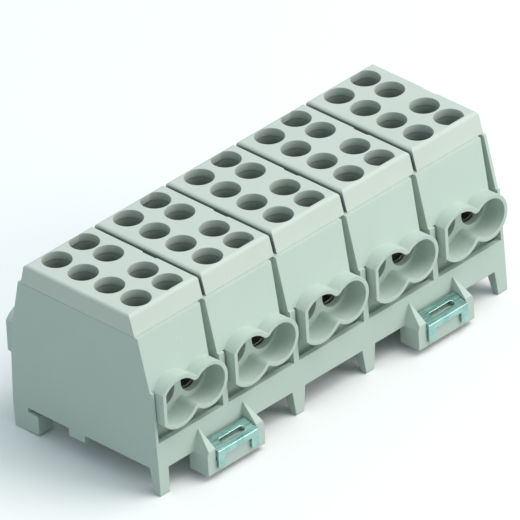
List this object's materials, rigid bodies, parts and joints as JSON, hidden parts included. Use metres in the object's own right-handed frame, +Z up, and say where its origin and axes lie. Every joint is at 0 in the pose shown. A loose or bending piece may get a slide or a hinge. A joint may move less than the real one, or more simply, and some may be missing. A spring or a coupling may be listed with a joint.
{
  "type": "power distribution block",
  "caption": "Rail-mounted main-line branch terminal block with figure-eight conductor collars and screw access holes on every pole.",
  "frame": {"origin": "middle of the seat on the 35 mm rail: half the block's length, the rail's middle line, the plane of the rail's upper face", "axes": "+X along the rail from the first pole to the last, +Z up away from the rail, -Y towards the side with the release clips"},
  "size_m": [0.129, 0.0607, 0.0518],
  "materials": {
    "housing_plastic": "moulded, fine matt texture",
    "cap_plastic": "moulded, fine matt texture",
    "clip_zinc": "blue-passivated zinc plating",
    "terminal_metal": "tinned brass",
    "screw_steel": "zinc-plated steel"
  },
  "bodies": {
    "block": {"base_housing": "housing_plastic", "cap_1": "cap_plastic", "cap_2": "cap_plastic", "cap_3": "cap_plastic", "cap_4": "cap_plastic", "cap_5": "cap_plastic", "terminal_bar_1": "terminal_metal", "terminal_bar_2": "terminal_metal", "terminal_bar_3": "terminal_metal", "terminal_bar_4": "terminal_metal", "terminal_bar_5": "terminal_metal"},
    "left_clip": {"rail_clip_left": "clip_zinc"},
    "right_clip": {"rail_clip_right": "clip_zinc"},
    "screws_1_front_left": {"clamp_screws_1_front_left": "screw_steel"},
    "screws_1_front_right": {"clamp_screws_1_front_right": "screw_steel"},
    "screws_1_back_left": {"clamp_screws_1_back_left": "screw_steel"},
    "screws_1_back_right": {"clamp_screws_1_back_right": "screw_steel"},
    "screws_2_front_left": {"clamp_screws_2_front_left": "screw_steel"},
    "screws_2_front_right": {"clamp_screws_2_front_right": "screw_steel"},
    "screws_2_back_left": {"clamp_screws_2_back_left": "screw_steel"},
    "screws_2_back_right": {"clamp_screws_2_back_right": "screw_steel"},
    "screws_3_front_left": {"clamp_screws_3_front_left": "screw_steel"},
    "screws_3_front_right": {"clamp_screws_3_front_right": "screw_steel"},
    "screws_3_back_left": {"clamp_screws_3_back_left": "screw_steel"},
    "screws_3_back_right": {"clamp_screws_3_back_right": "screw_steel"},
    "screws_4_front_left": {"clamp_screws_4_front_left": "screw_steel"},
    "screws_4_front_right": {"clamp_screws_4_front_right": "screw_steel"},
    "screws_4_back_left": {"clamp_screws_4_back_left": "screw_steel"},
    "screws_4_back_right": {"clamp_screws_4_back_right": "screw_steel"},
    "screws_5_front_left": {"clamp_screws_5_front_left": "screw_steel"},
    "screws_5_front_right": {"clamp_screws_5_front_right": "screw_steel"},
    "screws_5_back_left": {"clamp_screws_5_back_left": "screw_steel"},
    "screws_5_back_right": {"clamp_screws_5_back_right": "screw_steel"}
  },
  "joints": [
    {"name": "left_clip_release", "type": "slide", "parent": "block", "child": "left_clip", "axis": [0, -1, 0], "range_m": [0, 0.0035]},
    {"name": "right_clip_release", "type": "slide", "parent": "block", "child": "right_clip", "axis": [0, -1, 0], "range_m": [0, 0.0035]},
    {"name": "screws_1_front_left_clamp", "type": "slide", "parent": "block", "child": "screws_1_front_left", "axis": [0, 0, -1], "range_m": [0, 0.0055]},
    {"name": "screws_1_front_right_clamp", "type": "slide", "parent": "block", "child": "screws_1_front_right", "axis": [0, 0, -1], "range_m": [0, 0.0055]},
    {"name": "screws_1_back_left_clamp", "type": "slide", "parent": "block", "child": "screws_1_back_left", "axis": [0, 0, -1], "range_m": [0, 0.0055]},
    {"name": "screws_1_back_right_clamp", "type": "slide", "parent": "block", "child": "screws_1_back_right", "axis": [0, 0, -1], "range_m": [0, 0.0055]},
    {"name": "screws_2_front_left_clamp", "type": "slide", "parent": "block", "child": "screws_2_front_left", "axis": [0, 0, -1], "range_m": [0, 0.0055]},
    {"name": "screws_2_front_right_clamp", "type": "slide", "parent": "block", "child": "screws_2_front_right", "axis": [0, 0, -1], "range_m": [0, 0.0055]},
    {"name": "screws_2_back_left_clamp", "type": "slide", "parent": "block", "child": "screws_2_back_left", "axis": [0, 0, -1], "range_m": [0, 0.0055]},
    {"name": "screws_2_back_right_clamp", "type": "slide", "parent": "block", "child": "screws_2_back_right", "axis": [0, 0, -1], "range_m": [0, 0.0055]},
    {"name": "screws_3_front_left_clamp", "type": "slide", "parent": "block", "child": "screws_3_front_left", "axis": [0, 0, -1], "range_m": [0, 0.0055]},
    {"name": "screws_3_front_right_clamp", "type": "slide", "parent": "block", "child": "screws_3_front_right", "axis": [0, 0, -1], "range_m": [0, 0.0055]},
    {"name": "screws_3_back_left_clamp", "type": "slide", "parent": "block", "child": "screws_3_back_left", "axis": [0, 0, -1], "range_m": [0, 0.0055]},
    {"name": "screws_3_back_right_clamp", "type": "slide", "parent": "block", "child": "screws_3_back_right", "axis": [0, 0, -1], "range_m": [0, 0.0055]},
    {"name": "screws_4_front_left_clamp", "type": "slide", "parent": "block", "child": "screws_4_front_left", "axis": [0, 0, -1], "range_m": [0, 0.0055]},
    {"name": "screws_4_front_right_clamp", "type": "slide", "parent": "block", "child": "screws_4_front_right", "axis": [0, 0, -1], "range_m": [0, 0.0055]},
    {"name": "screws_4_back_left_clamp", "type": "slide", "parent": "block", "child": "screws_4_back_left", "axis": [0, 0, -1], "range_m": [0, 0.0055]},
    {"name": "screws_4_back_right_clamp", "type": "slide", "parent": "block", "child": "screws_4_back_right", "axis": [0, 0, -1], "range_m": [0, 0.0055]},
    {"name": "screws_5_front_left_clamp", "type": "slide", "parent": "block", "child": "screws_5_front_left", "axis": [0, 0, -1], "range_m": [0, 0.0055]},
    {"name": "screws_5_front_right_clamp", "type": "slide", "parent": "block", "child": "screws_5_front_right", "axis": [0, 0, -1], "range_m": [0, 0.0055]},
    {"name": "screws_5_back_left_clamp", "type": "slide", "parent": "block", "child": "screws_5_back_left", "axis": [0, 0, -1], "range_m": [0, 0.0055]},
    {"name": "screws_5_back_right_clamp", "type": "slide", "parent": "block", "child": "screws_5_back_right", "axis": [0, 0, -1], "range_m": [0, 0.0055]}
  ]
}
